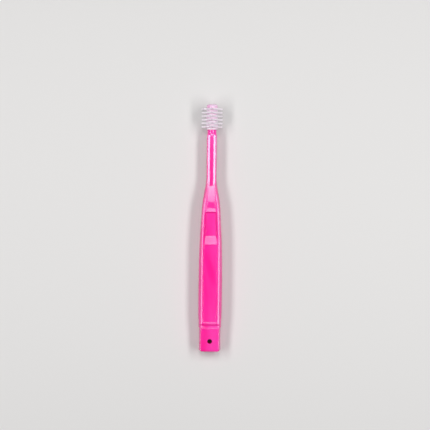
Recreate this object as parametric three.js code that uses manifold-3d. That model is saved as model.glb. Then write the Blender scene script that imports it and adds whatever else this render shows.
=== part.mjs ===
// Round-head pet toothbrush, lying on its back.
// Millimetres, +Z up, head towards +Y, front of the handle towards +Z.
// The origin is on the surface it lies on, under the middle of the brush.

import * as THREE from 'three';
import { LoftGeometry } from 'three/addons/geometries/LoftGeometry.js';
import { mergeVertices } from 'three/addons/utils/BufferGeometryUtils.js';
import Module from 'manifold-3d';

// ---- driving dimensions -------------------------------------------------

const brushLength = 140;
const headAxisHeight = 6;          // centre line of the neck and the head

const discCount = 6;
const discPitch = 2.015;
const discThickness = 0.86;
const discRadius = 5.95;           // tips of the bristles
const firstDisc = 127.2;           // middle of the lowest disc, from the tail end
const ringRadius = 3.15;
const stackGap = 0.03;             // left between one piece of the head and the next

const spindleRadius = 1.7;         // round, with two flats that stop the discs turning
const spindleFlat = 1.3;           // axis to each flat
const boreClearance = 0.05;
const spindleRoot = 2;             // how far the spindle runs back into the collar

const capRadius = 3.1;
const capSkirt = 0.8;              // straight part of the cap below its dome
const capBoreDepth = 0.95;
const capEdge = 0.2;               // rounding of the cap's rim
const tipClearance = 0.1;

const hangHoleRadius = 1.3;
const hangHolePlace = 5.9;         // from the tail end

const tailRounding = 1.3;
const tailRoundSteps = [0, 0.08, 0.3, 0.65, 1];
const bevelWidth = 1.05;           // long facet along each edge of the front
const bevelDrop = 0.42;            // how far it falls from the front to the side
const crestWidth = 0.3;            // flat top of the rim on each side of the front
const crestShare = 0.2;            // most of the front that one crest may take up
const recessSlope = 0.5;           // width of the wall from the rim down to the floor
const backShare = 0.62;            // width of the flat back, as a share of the full width
const sideLowShare = 0.34;         // the upright band on each side, as shares of the thickness
const sideHighShare = 0.56;

const discSteps = 48;              // sides of the faceted circles and arcs
const ringSteps = 32;
const holeSteps = 24;
const keySteps = 7;
const capSteps = 6;

// Each profile is a list of [distance from the tail end, value].
const widthKeys = [[0, 5.95], [13.2, 5.95], [14.2, 6.3], [17, 6.4], [22, 6.6], [35, 6.65], [50, 6.55],
  [63, 6.2], [76, 5.5], [84, 4.95], [88.5, 4.25], [92, 3.7], [95.5, 3.1], [98.5, 2.9], [122.4, 2.9],
  [123.6, 2.6], [127, 2.6]];
// The front's width is measured to the middle of the bevels.
const frontWidthKeys = [[0, 5.0], [13.2, 5.0], [15.8, 4.8], [40, 4.85], [60, 4.8], [72, 4.45], [80, 4.05],
  [85, 3.5], [90, 2.75], [95, 1.95], [99, 1.6], [122.4, 1.6], [123.6, 1.45], [127, 1.45]];
const frontKeys = [[0, 8.6], [13.2, 9.3], [14, 8.85], [14.9, 8.85], [15.6, 9.95], [20, 10.2], [40, 10.4],
  [60, 10.4], [70, 10.25], [80, 10.1], [84.6, 10], [85.2, 9.93], [93, 8.78], [94.5, 8.65], [122.4, 8.65],
  [123.6, 8.55], [127, 8.55]];
const backKeys = [[0, 0.8], [8, 0.3], [16, 0], [62, 0], [72, 0.35], [84, 1.6], [94, 3.05], [99, 3.35],
  [122.4, 3.35], [123.6, 3.45], [127, 3.45]];
const recessKeys = [[0, 0], [16.5, 0], [17.2, 0.35], [59.8, 0.35], [60.7, 0], [61.1, 0], [65.3, 1.35],
  [78.3, 1.35], [79.8, 0], [127, 0]];

// ---- worked out from them -----------------------------------------------

const tailEnd = -brushLength / 2;
const ringThickness = discPitch - discThickness - 2 * stackGap;
const collarEnd = firstDisc - discThickness / 2 - 2 * stackGap - ringThickness;
const capStart = firstDisc + (discCount - 1) * discPitch + discThickness / 2 + stackGap;
const spindleTip = capStart + capBoreDepth - tipClearance;
const capLength = brushLength - capStart;

const wasm = await Module();
wasm.setup();

// ---- joining and cutting ------------------------------------------------

function toSolid(geometry) {
  geometry.deleteAttribute('normal');
  geometry.deleteAttribute('uv');
  const merged = mergeVertices(geometry);
  return new wasm.Manifold(new wasm.Mesh({
    numProp: 3,
    vertProperties: new Float32Array(merged.attributes.position.array),
    triVerts: new Uint32Array(merged.index.array),
  }));
}

function toGeometry(solid) {
  const mesh = solid.getMesh();
  const geometry = new THREE.BufferGeometry();
  geometry.setAttribute('position', new THREE.BufferAttribute(mesh.vertProperties, 3));
  geometry.setIndex(new THREE.BufferAttribute(mesh.triVerts, 1));
  geometry.computeVertexNormals();
  return geometry;
}

// ---- profiles along the handle ------------------------------------------

// A smooth curve through the keys that never runs past them.
function profile(keys) {
  const slopes = keys.map((key, i) => {
    if (i === 0 || i === keys.length - 1) return 0;
    const before = (key[1] - keys[i - 1][1]) / (key[0] - keys[i - 1][0]);
    const after = (keys[i + 1][1] - key[1]) / (keys[i + 1][0] - key[0]);
    return before * after > 0 ? 2 * before * after / (before + after) : 0;
  });
  return (place) => {
    const last = keys.length - 2;
    const found = keys.findIndex((key, i) => i > last || place < keys[i + 1][0]);
    const i = Math.min(found, last);
    const span = keys[i + 1][0] - keys[i][0];
    const t = THREE.MathUtils.clamp((place - keys[i][0]) / span, 0, 1);
    const rise = t * t * (3 - 2 * t);
    const bend = span * (t * (1 - t) * (1 - t) * slopes[i] - t * t * (1 - t) * slopes[i + 1]);
    return keys[i][1] + (keys[i + 1][1] - keys[i][1]) * rise + bend;
  };
}

const halfWidthAt = profile(widthKeys);
const frontWidthAt = profile(frontWidthKeys);
const frontAt = profile(frontKeys);
const backAt = profile(backKeys);
const recessAt = profile(recessKeys);

// A corner rounded by a quadratic curve that uses a share of both its edges.
function roundedCorner(before, corner, after, share, steps) {
  const start = corner.clone().lerp(before, share);
  const end = corner.clone().lerp(after, share);
  return new THREE.QuadraticBezierCurve(start, corner, end).getPoints(steps);
}

// The right half of the handle's section, from the middle of the back to the middle of the front.
function halfSection(place, inset) {
  const back = backAt(place) + inset;
  const front = frontAt(place) - inset;
  const wide = halfWidthAt(place) - inset;
  const rim = frontWidthAt(place) - inset;
  const floor = front - recessAt(place);
  const bevel = Math.min(bevelWidth, rim / 2);
  const crest = Math.min(crestWidth, rim * crestShare);
  const backMiddle = new THREE.Vector2(0, back);
  const backCorner = new THREE.Vector2(wide * backShare, back);
  const sideLow = new THREE.Vector2(wide, back + (front - back) * sideLowShare);
  const sideHigh = new THREE.Vector2(wide, back + (front - back) * sideHighShare);
  const bevelOuter = new THREE.Vector2(rim + bevel / 2, front - bevelDrop);
  const bevelInner = new THREE.Vector2(rim - bevel / 2, front);
  const crestEnd = new THREE.Vector2(bevelInner.x - crest, front);
  const floorEdge = new THREE.Vector2(Math.max(crestEnd.x - recessSlope, crestEnd.x / 2), floor);
  return [
    backMiddle,
    ...roundedCorner(backMiddle, backCorner, sideLow, 0.45, 4),
    ...roundedCorner(backCorner, sideLow, sideHigh, 0.45, 2),
    ...roundedCorner(sideLow, sideHigh, bevelOuter, 0.45, 2),
    ...roundedCorner(sideHigh, bevelOuter, bevelInner, 0.2, 2),
    ...roundedCorner(bevelOuter, bevelInner, crestEnd, 0.3, 1),
    crestEnd,
    floorEdge,
    new THREE.Vector2(0, floor),
  ];
}

function section(place, inset) {
  const half = halfSection(place, inset);
  const y = tailEnd + place;
  const left = half.map((point) => new THREE.Vector3(-point.x, y, point.y));
  const right = half.slice(1, -1).reverse().map((point) => new THREE.Vector3(point.x, y, point.y));
  return [...left, ...right];
}

// Sections stand close together where the outline turns and far apart where it runs straight.
function sectionPlaces() {
  const stretches = [
    [2, 12.8, 3], [13.2, 16.8, 9], [17.4, 22, 3], [27, 57, 6], [59.8, 61.1, 3], [62, 65.3, 4],
    [68, 78.3, 5], [78.8, 79.8, 2], [81.5, 98.5, 11], [104, 120, 3], [122.4, 123.6, 3],
  ];
  return stretches.flatMap(([from, to, steps]) =>
    Array.from({ length: steps + 1 }, (_, i) => from + (to - from) * i / steps));
}

// ---- sub-parts ----------------------------------------------------------

function plasticOf(color, roughness) {
  return new THREE.MeshStandardMaterial({ color, roughness, metalness: 0 });
}

function named(name, geometry, material) {
  const mesh = new THREE.Mesh(geometry, material);
  mesh.name = name;
  return mesh;
}

function arcPoints(radius, from, to, steps) {
  return new THREE.EllipseCurve(0, 0, radius, radius, from, to).getPoints(steps);
}

function circlePoints(radius, steps) {
  return arcPoints(radius, 0, 2 * Math.PI, steps).slice(1);
}

// Circle with two flats, drawn round the head's axis: the spindle's section and the discs' bore.
function keyedPoints(radius, flat) {
  const turn = Math.acos(flat / radius);
  const above = arcPoints(radius, turn, Math.PI - turn, keySteps);
  const below = arcPoints(radius, Math.PI + turn, 2 * Math.PI - turn, keySteps);
  return [...above, ...below];
}

// An outline drawn round the head's axis, pushed along it from one place to another.
function alongAxis(shape, from, to) {
  const geometry = new THREE.ExtrudeGeometry(shape, { depth: to - from, bevelEnabled: false });
  geometry.rotateX(-Math.PI / 2);
  geometry.translate(0, tailEnd + from, headAxisHeight);
  return geometry;
}

function handleGeometry() {
  const tail = tailRoundSteps.map((share) => {
    const place = share * tailRounding;
    const inset = tailRounding - Math.sqrt(tailRounding ** 2 - (tailRounding - place) ** 2);
    return section(place, inset);
  });
  const grip = sectionPlaces().map((place) => section(place, 0));
  const sections = [...tail, ...grip, section(collarEnd, 0)];
  const body = toSolid(new LoftGeometry(sections, { capStart: true, capEnd: true }));

  const keyed = new THREE.Shape(keyedPoints(spindleRadius, spindleFlat));
  const spindle = toSolid(alongAxis(keyed, collarEnd - spindleRoot, spindleTip));

  const drill = new THREE.CylinderGeometry(hangHoleRadius, hangHoleRadius, 3 * headAxisHeight, holeSteps);
  drill.rotateX(Math.PI / 2);
  drill.translate(0, tailEnd + hangHolePlace, headAxisHeight);
  return toGeometry(body.add(spindle).subtract(toSolid(drill)));
}

function annulusGeometry(radius, from, to, steps) {
  const shape = new THREE.Shape(circlePoints(radius, steps));
  const bore = keyedPoints(spindleRadius + boreClearance, spindleFlat + boreClearance);
  shape.holes.push(new THREE.Path(bore));
  return alongAxis(shape, from, to);
}

function capGeometry() {
  const bore = spindleRadius + boreClearance;
  const outline = new THREE.Path();
  outline.moveTo(0, capBoreDepth);
  outline.lineTo(bore, capBoreDepth);
  outline.lineTo(bore, 0);
  outline.lineTo(capRadius - capEdge, 0);
  outline.quadraticCurveTo(capRadius, 0, capRadius, capEdge);
  outline.lineTo(capRadius, capSkirt);
  outline.bezierCurveTo(capRadius, capLength, capRadius * 0.7, capLength, 0, capLength);
  const geometry = new THREE.LatheGeometry(outline.getPoints(capSteps), ringSteps);
  geometry.translate(0, tailEnd + capStart, headAxisHeight);
  return geometry;
}

const pinkPlastic = plasticOf(0xff2f9c, 0.22);
const paleNylon = plasticOf(0xe8cfdb, 0.35);
const whiteBristle = plasticOf(0xf3eef2, 0.6);
const capPlastic = plasticOf(0xf59bc8, 0.25);

const toothbrush = new THREE.Group();
toothbrush.add(named('handle', handleGeometry(), pinkPlastic));

for (let i = 0; i < discCount; i += 1) {
  const discStart = firstDisc + i * discPitch - discThickness / 2;
  const ringEnd = discStart - stackGap;
  const ring = annulusGeometry(ringRadius, ringEnd - ringThickness, ringEnd, ringSteps);
  const disc = annulusGeometry(discRadius, discStart, discStart + discThickness, discSteps);
  toothbrush.add(named(`base_ring_${i + 1}`, ring, paleNylon));
  toothbrush.add(named(`bristle_disc_${i + 1}`, disc, whiteBristle));
}

toothbrush.add(named('end_cap', capGeometry(), capPlastic));

export default toothbrush;
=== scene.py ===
import bpy
import math
import numpy as np
from mathutils import Matrix, Vector


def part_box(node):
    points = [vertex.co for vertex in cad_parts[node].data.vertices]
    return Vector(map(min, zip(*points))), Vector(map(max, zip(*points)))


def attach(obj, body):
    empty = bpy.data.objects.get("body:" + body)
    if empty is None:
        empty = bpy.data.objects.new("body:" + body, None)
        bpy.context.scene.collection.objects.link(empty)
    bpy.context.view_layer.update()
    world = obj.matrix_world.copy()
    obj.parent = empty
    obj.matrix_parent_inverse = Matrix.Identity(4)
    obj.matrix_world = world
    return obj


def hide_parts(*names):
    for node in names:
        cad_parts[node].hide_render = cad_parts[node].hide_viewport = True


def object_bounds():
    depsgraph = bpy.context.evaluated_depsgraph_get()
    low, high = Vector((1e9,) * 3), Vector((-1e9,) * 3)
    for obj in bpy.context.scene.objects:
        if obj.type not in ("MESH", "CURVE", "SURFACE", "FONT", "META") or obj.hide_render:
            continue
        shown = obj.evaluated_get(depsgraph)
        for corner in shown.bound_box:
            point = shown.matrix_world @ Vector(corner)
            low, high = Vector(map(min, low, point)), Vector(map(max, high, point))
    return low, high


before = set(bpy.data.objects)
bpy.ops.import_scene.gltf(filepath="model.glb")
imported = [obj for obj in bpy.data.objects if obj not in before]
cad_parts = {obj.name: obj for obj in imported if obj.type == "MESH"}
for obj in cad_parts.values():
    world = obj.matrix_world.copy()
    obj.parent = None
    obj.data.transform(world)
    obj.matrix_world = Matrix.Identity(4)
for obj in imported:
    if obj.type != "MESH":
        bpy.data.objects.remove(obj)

mm = 0.001
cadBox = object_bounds()
bodyName = "root"
discCount = sum(node.startswith("bristle_disc_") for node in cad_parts)


def nodeBox(node):
    low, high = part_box(node)
    return Vector(low), Vector(high)


def middleOf(node):
    low, high = nodeBox(node)
    return (low + high) / 2


def smoothRise(t):
    t = np.clip(t, 0.0, 1.0)
    return t * t * (3 - 2 * t)


def smoothCurve(keys):
    # A curve through [place, value] keys that never runs past them.
    places = np.array([key[0] for key in keys], float)
    values = np.array([key[1] for key in keys], float)
    spans = np.diff(places)
    steepness = np.diff(values) / spans
    slopes = np.zeros(len(keys))
    for i in range(1, len(keys) - 1):
        before, after = steepness[i - 1], steepness[i]
        if before * after > 0:
            slopes[i] = 2 * before * after / (before + after)

    def at(place):
        i = np.clip(np.searchsorted(places, place, side="right") - 1, 0, len(spans) - 1)
        t = np.clip((place - places[i]) / spans[i], 0, 1)
        bend = spans[i] * (t * (1 - t) ** 2 * slopes[i] - t * t * (1 - t) * slopes[i + 1])
        return values[i] + (values[i + 1] - values[i]) * smoothRise(t) + bend

    return at


def meshObject(name, vertices, faces, material):
    mesh = bpy.data.meshes.new(name)
    mesh.from_pydata([tuple(v) for v in vertices], [], [tuple(f) for f in faces])
    mesh.validate()
    mesh.shade_smooth()
    mesh.materials.append(material)
    piece = bpy.data.objects.new(name, mesh)
    bpy.context.collection.objects.link(piece)
    return piece


def settle(piece, node):
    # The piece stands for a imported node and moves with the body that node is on.
    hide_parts(node)
    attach(piece, bodyName)
    return piece


def bakeModifiers(piece):
    # Turns what the modifiers make into the piece's own plain mesh.
    evaluated = piece.evaluated_get(bpy.context.evaluated_depsgraph_get())
    mesh = bpy.data.meshes.new_from_object(evaluated)
    piece.modifiers.clear()
    old = piece.data
    piece.data = mesh
    bpy.data.meshes.remove(old)
    mesh.name = piece.name


stageSettings = {
    "frameWidth": 243.4 * mm,      # how much of the floor the picture is wide
    "lookAt": (2.25 * mm, 7.4 * mm),
    "lean": 0.64,                  # degrees the brush leans to the right
    "lens": 200,
    "sensor": 36,
    "floorSize": 3.0,
    "floorColour": (0.70, 0.69, 0.68),
    "worldColour": (0.55, 0.56, 0.58),
    "worldStrength": 0.25,
}

# name: (place, level width, tilted height, strength in watts), all aimed at the middle of the brush
lightSettings = {
    "leftPanel": ((-0.33, 0.0, 0.44), 0.60, 0.11, 1.6),
    "rightPanel": ((0.33, 0.0, 0.44), 0.60, 0.11, 1.75),
    "headPanel": ((0.0, 0.25, 0.62), 0.18, 0.30, 1.0),
}


def makeCamera():
    s = stageSettings
    data = bpy.data.cameras.new("camera")
    data.lens, data.sensor_width = s["lens"], s["sensor"]
    distance = s["frameWidth"] * s["lens"] / s["sensor"]
    camera = bpy.data.objects.new("camera", data)
    across, along = s["lookAt"]
    camera.location = (across, along, distance + cadBox[1].z / 2)
    camera.rotation_euler = (0, 0, math.radians(s["lean"]))
    data.clip_start, data.clip_end = 0.01, 10
    bpy.context.collection.objects.link(camera)
    bpy.context.scene.camera = camera


def makeLights():
    for name, (place, width, height, watts) in lightSettings.items():
        data = bpy.data.lights.new(name, "AREA")
        data.shape = "RECTANGLE"
        data.size, data.size_y, data.energy = width, height, watts
        light = bpy.data.objects.new(name, data)
        light.location = place
        light.rotation_euler = (-Vector(place)).to_track_quat("-Z", "Y").to_euler()
        bpy.context.collection.objects.link(light)


def makeStage():
    s = stageSettings
    world = bpy.data.worlds.new("studio")
    bpy.context.scene.world = world
    world.use_nodes = True
    background = world.node_tree.nodes["Background"]
    background.inputs["Color"].default_value = (*s["worldColour"], 1)
    background.inputs["Strength"].default_value = s["worldStrength"]
    paint = bpy.data.materials.new("floorPaint")
    paint.use_nodes = True
    shader = paint.node_tree.nodes["Principled BSDF"]
    shader.inputs["Base Color"].default_value = (*s["floorColour"], 1)
    shader.inputs["Roughness"].default_value = 0.75
    half = s["floorSize"] / 2
    corners = [(-half, -half, 0), (half, -half, 0), (half, half, 0), (-half, half, 0)]
    floor = meshObject("floor", corners, [(0, 1, 2, 3)], paint)


makeCamera()
makeLights()
makeStage()
bpy.context.scene.view_settings.view_transform = "Standard"
print("camera, lights and floor are made")


def newMaterial(name):
    material = bpy.data.materials.new(name)
    material.use_nodes = True
    tree = material.node_tree
    shader = tree.nodes["Principled BSDF"]
    coordinates = tree.nodes.new("ShaderNodeTexCoord")
    return material, tree, shader, coordinates.outputs["Object"]


def setSockets(node, values):
    for name, value in values.items():
        node.inputs[name].default_value = value


def mouldGroup():
    # Marks that every moulded plastic has: slow flow streaks, fine haze and a soft sink in the gloss.
    group = bpy.data.node_groups.new("mouldedSurface", "ShaderNodeTree")
    face = group.interface
    face.new_socket(name="Vector", in_out="INPUT", socket_type="NodeSocketVector")
    inputs = {"Light": (1, 1, 1, 1), "Deep": (0, 0, 0, 1)}
    for name, value in inputs.items():
        face.new_socket(name=name, in_out="INPUT", socket_type="NodeSocketColor").default_value = value
    for name, value in {"Streak Size": 60.0, "Haze Size": 900.0, "Gloss": 0.2, "Haze": 0.1}.items():
        face.new_socket(name=name, in_out="INPUT", socket_type="NodeSocketFloat").default_value = value
    face.new_socket(name="Color", in_out="OUTPUT", socket_type="NodeSocketColor")
    face.new_socket(name="Roughness", in_out="OUTPUT", socket_type="NodeSocketFloat")
    face.new_socket(name="Height", in_out="OUTPUT", socket_type="NodeSocketFloat")
    nodes, links = group.nodes, group.links
    start, end = nodes.new("NodeGroupInput"), nodes.new("NodeGroupOutput")

    stretch = nodes.new("ShaderNodeMapping")
    stretch.inputs["Scale"].default_value = (1.0, 0.22, 1.0)
    links.new(start.outputs["Vector"], stretch.inputs["Vector"])
    streaks = nodes.new("ShaderNodeTexNoise")
    setSockets(streaks, {"Detail": 3.0, "Roughness": 0.45, "Distortion": 0.6})
    links.new(stretch.outputs["Vector"], streaks.inputs["Vector"])
    links.new(start.outputs["Streak Size"], streaks.inputs["Scale"])
    haze = nodes.new("ShaderNodeTexNoise")
    setSockets(haze, {"Detail": 4.0, "Roughness": 0.6})
    links.new(start.outputs["Vector"], haze.inputs["Vector"])
    links.new(start.outputs["Haze Size"], haze.inputs["Scale"])

    contrast = nodes.new("ShaderNodeMapRange")
    setSockets(contrast, {"From Min": 0.36, "From Max": 0.64})
    links.new(streaks.outputs["Fac"], contrast.inputs["Value"])
    blend = nodes.new("ShaderNodeMix")
    blend.data_type = "RGBA"
    links.new(contrast.outputs["Result"], blend.inputs["Factor"])
    # on a colour Mix, inputs 6 and 7 are A and B and output 2 is the result
    links.new(start.outputs["Deep"], blend.inputs[6])
    links.new(start.outputs["Light"], blend.inputs[7])
    links.new(blend.outputs[2], end.inputs["Color"])

    spread = nodes.new("ShaderNodeMath")
    spread.operation = "MULTIPLY_ADD"
    links.new(haze.outputs["Fac"], spread.inputs[0])
    links.new(start.outputs["Haze"], spread.inputs[1])
    links.new(start.outputs["Gloss"], spread.inputs[2])
    links.new(spread.outputs["Value"], end.inputs["Roughness"])
    links.new(streaks.outputs["Fac"], end.inputs["Height"])
    return group


def mouldedPlastic(name, group, look):
    material, tree, shader, vector = newMaterial(name)
    surface = tree.nodes.new("ShaderNodeGroup")
    surface.node_tree = group
    setSockets(surface, look["surface"])
    setSockets(shader, look["shader"])
    bump = tree.nodes.new("ShaderNodeBump")
    setSockets(bump, {"Strength": look["sink"], "Distance": 0.2 * mm})
    links = tree.links
    links.new(vector, surface.inputs["Vector"])
    links.new(surface.outputs["Color"], shader.inputs["Base Color"])
    links.new(surface.outputs["Roughness"], shader.inputs["Roughness"])
    links.new(surface.outputs["Height"], bump.inputs["Height"])
    links.new(bump.outputs["Normal"], shader.inputs["Normal"])
    if "polish" in look:
        along = tree.nodes.new("ShaderNodeSeparateXYZ")
        polish = tree.nodes.new("ShaderNodeMapRange")
        setSockets(polish, {"From Min": look["polish"][0] * mm, "From Max": look["polish"][1] * mm})
        links.new(vector, along.inputs["Vector"])
        links.new(along.outputs["Y"], polish.inputs["Value"])
        links.new(polish.outputs["Result"], shader.inputs["Coat Weight"])
    return material


handleLook = {
    "surface": {"Light": (1.0, 0.050, 0.42, 1), "Deep": (0.98, 0.010, 0.30, 1),
                "Streak Size": 70.0, "Haze Size": 1400.0, "Gloss": 0.10, "Haze": 0.07},
    "shader": {"Subsurface Weight": 0.25, "Subsurface Radius": (1.0, 0.25, 0.55),
               "Subsurface Scale": 0.9 * mm, "IOR": 1.55, "Specular Tint": (0.95, 0.88, 1.0, 1),
               "Coat Roughness": 0.10},
    "sink": 0.25,
    "polish": (16.0, 26.0),        # the mould's polish sets in between these places, in millimetres along Y
}
ringLook = {
    "surface": {"Light": (0.93, 0.80, 0.89, 1), "Deep": (0.88, 0.71, 0.83, 1),
                "Streak Size": 500.0, "Haze Size": 3000.0, "Gloss": 0.30, "Haze": 0.15},
    "shader": {"Subsurface Weight": 0.6, "Subsurface Radius": (1.0, 0.7, 0.85),
               "Subsurface Scale": 0.8 * mm, "IOR": 1.53},
    "sink": 0.1,
}
capLook = {
    "surface": {"Light": (0.93, 0.62, 0.82, 1), "Deep": (0.86, 0.46, 0.71, 1),
                "Streak Size": 300.0, "Haze Size": 2500.0, "Gloss": 0.20, "Haze": 0.12},
    "shader": {"Subsurface Weight": 0.6, "Subsurface Radius": (1.0, 0.6, 0.8),
               "Subsurface Scale": 1.2 * mm, "IOR": 1.49, "Coat Weight": 0.3, "Coat Roughness": 0.1},
    "sink": 0.1,
}
bristleLook = {
    "shader": {"Roughness": 0.38, "IOR": 1.45, "Sheen Weight": 0.4,
               # Emission Color and Emission Strength give the filaments a faint painted glow, a
               # lavender-white stand-in for light that passes through and between them
               "Emission Color": (1.0, 0.86, 0.97, 1), "Emission Strength": 0.09},
    "tip": (0.96, 0.93, 0.96, 1),
    "root": (0.89, 0.71, 0.83, 1),
    "rootReach": 1.6,              # how far out from the ring the pink runs, in millimetres
    "speckSize": 2500.0,
}


def bristleNylon(name):
    # White filaments, a little pinker towards the hub they are welded to.
    look = bristleLook
    material, tree, shader, vector = newMaterial(name)
    setSockets(shader, look["shader"])
    nodes, links = tree.nodes, tree.links
    axis = middleOf("bristle_disc_1")
    centred = nodes.new("ShaderNodeMapping")
    setSockets(centred, {"Location": (-axis.x, 0, -axis.z), "Scale": (1, 0, 1)})
    links.new(vector, centred.inputs["Vector"])
    reach = nodes.new("ShaderNodeVectorMath")
    reach.operation = "LENGTH"
    links.new(centred.outputs["Vector"], reach.inputs[0])
    low, high = nodeBox("base_ring_1")
    ringRadius = (high.x - low.x) / 2
    outward = nodes.new("ShaderNodeMapRange")
    setSockets(outward, {"From Min": ringRadius, "From Max": ringRadius + look["rootReach"] * mm})
    links.new(reach.outputs["Value"], outward.inputs["Value"])
    fleck = nodes.new("ShaderNodeTexNoise")
    setSockets(fleck, {"Scale": look["speckSize"], "Detail": 1.0})
    links.new(vector, fleck.inputs["Vector"])
    shade = nodes.new("ShaderNodeMath")
    shade.operation = "MULTIPLY_ADD"
    shade.inputs[1].default_value = 0.2
    links.new(fleck.outputs["Fac"], shade.inputs[0])
    links.new(outward.outputs["Result"], shade.inputs[2])
    blend = nodes.new("ShaderNodeMix")
    blend.data_type = "RGBA"
    blend.inputs[6].default_value = look["root"]
    blend.inputs[7].default_value = look["tip"]
    links.new(shade.outputs["Value"], blend.inputs["Factor"])
    links.new(blend.outputs[2], shader.inputs["Base Color"])
    return material


mouldedSurface = mouldGroup()
pinkPlastic = mouldedPlastic("pinkPlastic", mouldedSurface, handleLook)
paleNylon = mouldedPlastic("paleNylon", mouldedSurface, ringLook)
capPlastic = mouldedPlastic("capPlastic", mouldedSurface, capLook)
whiteBristle = bristleNylon("whiteBristle")
print("materials are made")


# Lengths in millimetres, places from the tail end. Each profile is a list of [place, value].
handleSettings = {
    "width": [[0, 5.95], [13.2, 5.95], [14.2, 6.3], [17, 6.4], [22, 6.6], [35, 6.65], [50, 6.55], [63, 6.2],
              [76, 5.5], [84, 4.95], [88.5, 4.25], [92, 3.7], [95.5, 3.1], [98.5, 2.9], [122.4, 2.9],
              [123.6, 2.6], [127, 2.6]],
    "frontWidth": [[0, 5.0], [13.2, 5.0], [15.8, 4.8], [40, 4.85], [60, 4.8], [72, 4.45], [80, 4.05],
                   [85, 3.5], [90, 2.85], [93.2, 2.45], [96, 2.4], [99, 2.35], [127, 2.35]],
    "front": [[0, 8.6], [13.2, 9.3], [14, 8.85], [14.9, 8.85], [15.6, 9.95], [20, 10.2], [40, 10.4],
              [60, 10.4], [70, 10.25], [80, 10.1], [84.6, 10], [85.2, 9.93], [93, 8.78], [96, 8.21],
              [127, 8.21]],
    "back": [[0, 0.8], [8, 0.3], [16, 0], [62, 0], [72, 0.35], [84, 1.6], [94, 3.05], [99, 3.35],
             [122.4, 3.35], [123.6, 3.45], [127, 3.45]],
    "backShare": 0.62,
    "sideLow": 0.34,
    "sideHigh": 0.56,
    "backRound": 2.4,
    "sideRound": 1.6,
    "bevel": [[0, 0.4], [13.4, 0.4], [15, 1.05], [83, 1.0], [90, 0.5], [95, 0.2], [127, 0.2]],
    "bevelSteepness": 0.33,
    "bevelRound": 0.16,
    "crest": 0.3,                  # flat top between a bevel and a hollow
    "tailRounding": 1.3,
    "seam": 0.035,                 # how far the mould's parting line stands out on the sides
    "seamFoot": 0.03,              # half its width there, as a share of the side band
    "neck": {"from": 90, "top": 8.65, "flat": 0.9, "bevel": 1.3, "drop": 0.43, "blend": 0.03},
    "collar": {"from": 122.4, "length": 1.0, "radius": 2.6, "rounding": 0.3, "gap": 0.03},
    "step": 0.3,                   # from one section to the next
    "frontSteps": (16, 8, 6),      # from the rim to the neck's bevel, over it, and over its flat top
    "spindleRadius": 1.7,
    "spindleFlat": 1.3,
    "hole": {"place": 5.9, "radius": 1.3, "flare": 0.15, "steps": 64, "reach": 2.0},
}

# Hollows in the front, inside the rims. ramp and fade are the slopes at the tail end and the head end,
# wall the slopes at the sides, corner their rounding seen from above, side the distance from the rims.
hollowSettings = {
    "panel": {"from": 15.7, "to": 60.5, "depth": 0.35, "ramp": 1.5, "fade": 0.4, "wall": 0.4, "corner": 0.7,
              "side": 0},
    "thumb": {"from": 60.8, "to": 79.2, "depth": 1.35, "ramp": 4.5, "fade": 0.7, "wall": 0.9, "corner": 1.2,
              "side": 0},
    "pad": {"from": 79.3, "to": 84.8, "depth": 0.35, "ramp": 1.8, "fade": 0.1, "wall": 1.1, "corner": 0.1,
            "side": 0},
    "shoulder": {"from": 84.7, "to": 93.2, "depth": 0.35, "ramp": 0.1, "fade": 8.4, "wall": 0.5,
                 "corner": 0.1, "side": 0.1},
}


def cornerArc(before, corner, after, reach, steps):
    # Rounds a corner with a quadratic curve that starts and ends at most reach away from it.
    toBefore, toAfter = before - corner, after - corner
    start = corner + toBefore * min(0.45, reach / max(np.linalg.norm(toBefore), 1e-6))
    end = corner + toAfter * min(0.45, reach / max(np.linalg.norm(toAfter), 1e-6))
    t = np.linspace(0, 1, steps + 1)[:, None]
    return (1 - t) ** 2 * start + 2 * t * (1 - t) * corner + t * t * end


def softRamp(t, ease=0.05):
    # A straight rise from 0 to 1 with its two ends eased.
    return (math.hypot(t, ease) - math.hypot(t - 1, ease) + 1) / 2


def hollowDepth(across, place, edge):
    depth = np.zeros_like(across)
    for hollow in hollowSettings.values():
        fromTail, toHead = place - hollow["from"], hollow["to"] - place
        slope = min(softRamp(fromTail / hollow["ramp"]), softRamp(toHead / hollow["fade"]))
        corner = hollow["corner"]
        short = min(max(corner - min(fromTail, toHead), 0), corner)
        inside = edge - hollow["side"] - (corner - math.sqrt(corner ** 2 - short ** 2)) - across
        depth += hollow["depth"] * np.minimum(smoothRise(inside / hollow["wall"]), max(slope, 0))
    return depth


def neckLevel(across, level, inset):
    # The neck's bevelled front, where it stands above the shoulder's slope.
    neck = handleSettings["neck"]
    fall = neck["drop"] * np.clip((across - neck["flat"]) / neck["bevel"], 0, 1)
    gap = neck["top"] - inset - fall - level
    return level + (gap + np.hypot(gap, neck["blend"])) / 2


def handleProfiles():
    s = handleSettings
    return {name: smoothCurve(s[name]) for name in ("width", "frontWidth", "front", "back", "bevel")}


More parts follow.
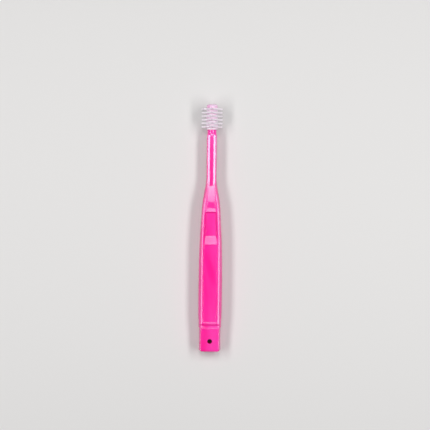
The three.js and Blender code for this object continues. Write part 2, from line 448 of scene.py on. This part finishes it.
def halfSection(place, inset, profiles):
    # The right half of a section, from the middle of the back to the middle of the front.
    s = handleSettings
    back = profiles["back"](place) + inset
    front = profiles["front"](place) - inset
    wide = profiles["width"](place) - inset
    rim = profiles["frontWidth"](place) - inset
    bevel = profiles["bevel"](place)
    drop = bevel * s["bevelSteepness"]
    thick = front - back
    backMiddle = np.array([0, back])
    backCorner = np.array([wide * s["backShare"], back])
    sideLow = np.array([wide, back + thick * s["sideLow"]])
    sideHigh = np.array([wide, back + thick * s["sideHigh"]])
    bevelOuter = np.array([rim + bevel / 2, front - drop])
    bevelInner = np.array([rim - bevel / 2, front])
    frontMiddle = np.array([0, front])
    seamHeight = (sideLow[1] + sideHigh[1]) / 2
    seamFoot = s["seamFoot"] * (sideHigh[1] - sideLow[1])
    seam = np.array([[wide, seamHeight - seamFoot], [wide + s["seam"], seamHeight],
                     [wide, seamHeight + seamFoot]])
    outerArc = cornerArc(sideHigh, bevelOuter, bevelInner, s["bevelRound"] * 1.5, 6)
    innerArc = cornerArc(bevelOuter, bevelInner, frontMiddle, s["bevelRound"], 5)
    neck, edge = s["neck"], innerArc[-1][0]
    breaks = (edge, min(neck["flat"] + neck["bevel"], edge - 0.02), neck["flat"], 0)
    spans = zip(breaks, breaks[1:], s["frontSteps"])
    across = np.hstack([np.linspace(a, b, steps + 1)[1:] for a, b, steps in spans])
    level = front - hollowDepth(across, place, bevelInner[0] - s["crest"])
    if place > neck["from"]:
        level = neckLevel(across, level, inset)
    return np.vstack([
        np.linspace(backMiddle, cornerArc(backMiddle, backCorner, sideLow, s["backRound"], 1)[0], 5)[:-1],
        cornerArc(backMiddle, backCorner, sideLow, s["backRound"], 10),
        cornerArc(backCorner, sideLow, sideHigh, s["sideRound"], 6),
        seam,
        cornerArc(sideLow, sideHigh, bevelOuter, s["sideRound"], 6),
        np.linspace(cornerArc(sideLow, sideHigh, bevelOuter, s["sideRound"], 1)[1], outerArc[0], 6)[1:-1],
        outerArc,
        np.linspace(outerArc[-1], innerArc[0], 5)[1:-1],
        innerArc,
        np.column_stack([across, level]),
    ])


def sectionRing(place, inset, profiles, tail):
    half = halfSection(place, inset, profiles) * mm
    both = np.vstack([half * (-1, 1), half[1:-1][::-1]])
    # towards the head the section turns into the round collar
    collar, axis = handleSettings["collar"], np.array([0, middleOf("base_ring_1").z])
    arms = both - axis
    circle = axis + arms * ((collar["radius"] - inset) * mm / np.linalg.norm(arms, axis=1))[:, None]
    both = both + (circle - both) * smoothRise((place - collar["from"]) / collar["length"])
    return np.column_stack([both[:, 0], np.full(len(both), tail + place * mm), both[:, 1]])


def keyedRing(like, y, axisHeight):
    # A ring of the spindle: round, with two flats, its points at the same angles as the ring it follows.
    s = handleSettings
    angles = np.arctan2(like[:, 2] - axisHeight, like[:, 0])
    radius = np.minimum(s["spindleRadius"], s["spindleFlat"] / np.maximum(np.abs(np.cos(angles)), 1e-6)) * mm
    heights = axisHeight + radius * np.sin(angles)
    return np.column_stack([radius * np.cos(angles), np.full(len(like), y), heights])


def loftFaces(ringCount, pointCount):
    faces = []
    for row in range(ringCount - 1):
        here, there = row * pointCount, (row + 1) * pointCount
        for i in range(pointCount):
            j = (i + 1) % pointCount
            faces.append((here + i, here + j, there + j, there + i))
    faces.append(tuple(reversed(range(pointCount))))
    faces.append(tuple(range((ringCount - 1) * pointCount, ringCount * pointCount)))
    return faces


def lathe(outline, steps, centre, name, material, closedLoop=False):
    # Turns an outline of (radius, along) points round the head's axis, which runs along Y.
    vertices, rows = [], []
    for radius, along in outline:
        if radius < 1e-9:
            rows.append([len(vertices)] * steps)
            vertices.append((centre.x, centre.y + along, centre.z))
            continue
        rows.append(list(range(len(vertices), len(vertices) + steps)))
        for i in range(steps):
            turn = 2 * math.pi * i / steps
            vertices.append((centre.x + radius * math.cos(turn), centre.y + along,
                             centre.z - radius * math.sin(turn)))
    faces = []
    pairs = list(zip(rows, rows[1:])) + ([(rows[-1], rows[0])] if closedLoop else [])
    for lower, upper in pairs:
        for i in range(steps):
            j = (i + 1) % steps
            face = []
            for index in (lower[i], lower[j], upper[j], upper[i]):
                if index not in face:
                    face.append(index)
            if len(face) > 2:
                faces.append(face)
    return meshObject(name, vertices, faces, material)


def holeCutter(top):
    # A drill with a flared edge at both faces of the tail.
    hole = handleSettings["hole"]
    place = nodeBox("handle")[0].y + hole["place"] * mm
    profiles = handleProfiles()
    back, front = profiles["back"](hole["place"]), profiles["front"](hole["place"])
    radius, flare = hole["radius"], hole["flare"]
    arc = np.linspace(0, math.pi / 2, 7)
    backEdge = [(radius + flare * (1 - math.sin(a)), back + flare * (1 - math.cos(a))) for a in arc]
    frontEdge = [(r, front - (z - back)) for r, z in reversed(backEdge)]
    wide = radius + flare
    outline = [(0, back - top), (wide, back - top), *backEdge, *frontEdge]
    outline += [(wide, front + top), (0, front + top)]
    outline = [(r * mm, z * mm) for r, z in outline]
    cutter = lathe(outline, hole["steps"], Vector((0, 0, 0)), "holeCutter", pinkPlastic)
    # half a step round, so that no corner of the drill meets the handle's middle line
    cutter.data.transform(Matrix.Rotation(math.pi / hole["steps"], 4, "Y"))
    for vertex in cutter.data.vertices:
        x, y, z = vertex.co
        vertex.co = (x, place - z, y)
    return cutter


def makeHandle():
    s = handleSettings
    profiles = handleProfiles()
    low, high = nodeBox("handle")
    tail, axisHeight, collar = low.y, middleOf("base_ring_1").z, s["collar"]
    collarEnd = (nodeBox("base_ring_1")[0].y - tail) / mm - collar["gap"]
    rings = []
    for turn in np.linspace(0, math.pi / 2, 9):
        place = s["tailRounding"] * (1 - math.cos(turn))
        rings.append(sectionRing(place, s["tailRounding"] * (1 - math.sin(turn)), profiles, tail))
    for place in np.arange(s["tailRounding"] + s["step"], collarEnd - s["step"] / 2, s["step"]):
        rings.append(sectionRing(place, 0, profiles, tail))
    for turn in np.linspace(0, math.pi / 2, 5):
        place = collarEnd - collar["rounding"] * (1 - math.sin(turn))
        rings.append(sectionRing(place, collar["rounding"] * (1 - math.cos(turn)), profiles, tail))
    rings.append(keyedRing(rings[-1], tail + collarEnd * mm, axisHeight))
    rings.append(keyedRing(rings[-1], high.y, axisHeight))
    handle = meshObject("handleMoulding", np.vstack(rings), loftFaces(len(rings), len(rings[0])), pinkPlastic)
    cutter = holeCutter(s["hole"]["reach"])
    cut = handle.modifiers.new("hangHole", "BOOLEAN")
    cut.operation, cut.solver, cut.object = "DIFFERENCE", "EXACT", cutter
    bakeModifiers(handle)
    bpy.data.objects.remove(cutter)
    handle.data.set_sharp_from_angle(angle=math.radians(40))
    return settle(handle, "handle")


handlePiece = makeHandle()
print("handle is made:", len(handlePiece.data.polygons), "faces")


ringSettings = {
    "edge": 0.16,                  # rounding of the outer edges
    "steps": 72,
    "boreRadius": 1.75,
    "boreFlat": 1.35,
}


def makeRing(index):
    # A welded ring: rounded outside, keyed bore.
    s = ringSettings
    node = f"base_ring_{index}"
    low, high = nodeBox(node)
    centre = middleOf(node)
    outer, half, edge = (high.x - low.x) / 2, (high.y - low.y) / 2, s["edge"] * mm
    arc = np.linspace(0, math.pi / 2, 5)
    lower = [(outer - edge * (1 - math.sin(a)), -half + edge * (1 - math.cos(a))) for a in arc]
    upper = [(radius, -along) for radius, along in reversed(lower)]
    bore = s["boreRadius"] * mm
    outline = [(bore, half), (bore, -half), *lower, *upper]
    ring = lathe(outline, s["steps"], centre, f"baseRing{index}", paleNylon, closedLoop=True)
    for vertex in ring.data.vertices:
        across = vertex.co.x - centre.x
        if math.hypot(across, vertex.co.z - centre.z) < bore * 1.01:
            limit = s["boreFlat"] * mm
            vertex.co.x = centre.x + max(-limit, min(limit, across))
    ring.data.set_sharp_from_angle(angle=math.radians(40))
    return settle(ring, node)


for index in range(1, discCount + 1):
    makeRing(index)
print("base rings are made")


capSettings = {"skirt": 0.8, "dome": 0.72, "edge": 0.2, "boreRadius": 1.75, "boreDepth": 0.95, "steps": 96}


def makeCap():
    s = capSettings
    low, high = nodeBox("end_cap")
    centre = middleOf("end_cap")
    radius, length = (high.x - low.x) / 2, high.y - low.y
    skirt, edge, bore, depth = s["skirt"] * mm, s["edge"] * mm, s["boreRadius"] * mm, s["boreDepth"] * mm
    arc = np.linspace(0, math.pi / 2, 6)
    outline = [(0, depth), (bore, depth), (bore, 0)]
    outline += [(radius - edge * (1 - math.sin(a)), edge * (1 - math.cos(a))) for a in arc]
    t = np.linspace(0, 1, 25)[:, None]
    a, b = np.array([radius, skirt]), np.array([radius, length])
    c, d = np.array([radius * s["dome"], length]), np.array([0, length])
    dome = (1 - t) ** 3 * a + 3 * t * (1 - t) ** 2 * b + 3 * t * t * (1 - t) * c + t ** 3 * d
    outline += [tuple(point) for point in dome]
    outline[-1] = (0, length)
    base = Vector((centre.x, low.y, centre.z))
    cap = lathe(outline, s["steps"], base, "endCap", capPlastic)
    cap.data.set_sharp_from_angle(angle=math.radians(40))
    return settle(cap, "end_cap")


makeCap()
print("end cap is made")


bristleSettings = {
    "count": 3000,
    "thickness": 0.042,            # radius of one filament, in millimetres
    "tipShare": 0.7,               # its radius at the tip, as a share of that
    "rootRadius": 3.0,
    "coreRadius": 3.22,            # the welded band at the root
    "coreHalf": 0.36,
    "coreEdge": 0.5,               # rounding of the band's edges, as a share of its half depth
    "layerHalf": 0.34,             # half the depth of one layer of filaments at its roots
    "lengthSpread": 0.04,
    "fan": 0.03,                   # how much the filaments splay
    "sideways": 0.35,              # how much of that goes along the brush
    "sides": 4,
    "seed": 11,
}


def bristleTree():
    # Filaments standing out from a ring, round an axis along Y.
    tree = bpy.data.node_groups.new("bristleFan", "GeometryNodeTree")
    face = tree.interface
    face.new_socket(name="Geometry", in_out="INPUT", socket_type="NodeSocketGeometry")
    face.new_socket(name="Centre", in_out="INPUT", socket_type="NodeSocketVector")
    face.new_socket(name="Count", in_out="INPUT", socket_type="NodeSocketInt")
    for name in ("Root Radius", "Tip Radius", "Half Depth", "Filament Radius", "Length Spread", "Fan"):
        face.new_socket(name=name, in_out="INPUT", socket_type="NodeSocketFloat")
    face.new_socket(name="Seed", in_out="INPUT", socket_type="NodeSocketInt")
    face.new_socket(name="Material", in_out="INPUT", socket_type="NodeSocketMaterial")
    face.new_socket(name="Geometry", in_out="OUTPUT", socket_type="NodeSocketGeometry")
    nodes, links = tree.nodes, tree.links
    start, end = nodes.new("NodeGroupInput"), nodes.new("NodeGroupOutput")

    def calculate(operation, first, second):
        node = nodes.new("ShaderNodeMath")
        node.operation = operation
        for socket, value in zip(node.inputs, (first, second)):
            if isinstance(value, (int, float)):
                socket.default_value = value
            elif value is not None:
                links.new(value, socket)
        return node.outputs["Value"]

    def draw(low, high, offset):
        node = nodes.new("FunctionNodeRandomValue")
        node.data_type = "FLOAT"
        node.inputs[2].default_value, node.inputs[3].default_value = low, high
        links.new(calculate("ADD", start.outputs["Seed"], offset), node.inputs["Seed"])
        return node.outputs[1]

    def vector(x, y, z):
        node = nodes.new("ShaderNodeCombineXYZ")
        for socket, value in zip(node.inputs, (x, y, z)):
            links.new(value, socket)
        return node.outputs["Vector"]

    index = nodes.new("GeometryNodeInputIndex").outputs["Index"]
    share = calculate("DIVIDE", calculate("ADD", index, draw(0, 1, 0)), start.outputs["Count"])
    turn = calculate("MULTIPLY", share, 2 * math.pi)
    cosine, sine = calculate("COSINE", turn, None), calculate("SINE", turn, None)
    spread = draw(-1, 1, 1)
    root = start.outputs["Root Radius"]
    place = vector(calculate("MULTIPLY", cosine, root),
                   calculate("MULTIPLY", spread, start.outputs["Half Depth"]),
                   calculate("MULTIPLY", sine, root))
    shift = nodes.new("ShaderNodeVectorMath")
    links.new(place, shift.inputs[0])
    links.new(start.outputs["Centre"], shift.inputs[1])
    points = nodes.new("GeometryNodePoints")
    links.new(start.outputs["Count"], points.inputs["Count"])
    links.new(shift.outputs["Vector"], points.inputs["Position"])

    fan = start.outputs["Fan"]
    sideways = calculate("MULTIPLY", fan, bristleSettings["sideways"])
    along = vector(calculate("ADD", cosine, calculate("MULTIPLY", draw(-1, 1, 2), fan)),
                   calculate("MULTIPLY", draw(-1, 1, 3), sideways),
                   calculate("ADD", sine, calculate("MULTIPLY", draw(-1, 1, 4), fan)))
    aim = nodes.new("FunctionNodeAlignRotationToVector")
    aim.axis = "Z"
    links.new(along, aim.inputs["Vector"])

    length = calculate("SUBTRACT", start.outputs["Tip Radius"], root)
    cone = nodes.new("GeometryNodeMeshCone")
    setSockets(cone, {"Vertices": bristleSettings["sides"], "Side Segments": 1})
    links.new(start.outputs["Filament Radius"], cone.inputs["Radius Bottom"])
    tipRadius = calculate("MULTIPLY", start.outputs["Filament Radius"], bristleSettings["tipShare"])
    links.new(tipRadius, cone.inputs["Radius Top"])
    links.new(length, cone.inputs["Depth"])
    shorter = calculate("SUBTRACT", 1.0, calculate("MULTIPLY", draw(0, 1, 5), start.outputs["Length Spread"]))
    one = nodes.new("ShaderNodeValue").outputs[0]
    one.default_value = 1.0
    stand = nodes.new("GeometryNodeInstanceOnPoints")
    links.new(points.outputs["Points"], stand.inputs["Points"])
    links.new(cone.outputs["Mesh"], stand.inputs["Instance"])
    links.new(aim.outputs["Rotation"], stand.inputs["Rotation"])
    links.new(vector(one, one, shorter), stand.inputs["Scale"])

    join = nodes.new("GeometryNodeJoinGeometry")
    links.new(start.outputs["Geometry"], join.inputs["Geometry"])
    links.new(stand.outputs["Instances"], join.inputs["Geometry"])
    real = nodes.new("GeometryNodeRealizeInstances")
    paint = nodes.new("GeometryNodeSetMaterial")
    links.new(join.outputs["Geometry"], real.inputs["Geometry"])
    links.new(real.outputs["Geometry"], paint.inputs["Geometry"])
    links.new(start.outputs["Material"], paint.inputs["Material"])
    links.new(paint.outputs["Geometry"], end.inputs["Geometry"])
    return tree


def setInputs(modifier, values):
    for item in modifier.node_group.interface.items_tree:
        if item.item_type == "SOCKET" and item.in_out == "INPUT" and item.name in values:
            modifier[item.identifier] = values[item.name]


def makeDisc(index, tree):
    s = bristleSettings
    node = f"bristle_disc_{index}"
    low, high = nodeBox(node)
    centre = middleOf(node)
    tip = (high.x - low.x) / 2
    bore, core, coreHalf = ringSettings["boreRadius"] * mm, s["coreRadius"] * mm, s["coreHalf"] * mm
    edge = coreHalf * s["coreEdge"]
    outline = [(bore, coreHalf), (bore, -coreHalf)]
    for turn in np.linspace(-math.pi / 2, math.pi / 2, 9):
        corner = math.copysign(coreHalf - edge, turn)
        outline.append((core - edge + edge * math.cos(turn), corner + edge * math.sin(turn)))
    disc = lathe(outline, ringSettings["steps"], centre, f"bristleDisc{index}", whiteBristle, closedLoop=True)
    fan = disc.modifiers.new("filaments", "NODES")
    fan.node_group = tree
    setInputs(fan, {
        "Centre": tuple(centre), "Count": s["count"], "Root Radius": s["rootRadius"] * mm, "Tip Radius": tip,
        "Half Depth": s["layerHalf"] * mm, "Filament Radius": s["thickness"] * mm,
        "Length Spread": s["lengthSpread"], "Fan": s["fan"], "Seed": s["seed"] + 10 * index,
        "Material": whiteBristle,
    })
    bakeModifiers(disc)
    return settle(disc, node)


fanTree = bristleTree()
for index in range(1, discCount + 1):
    piece = makeDisc(index, fanTree)
print("bristle discs are made:", len(piece.data.polygons), "faces each")
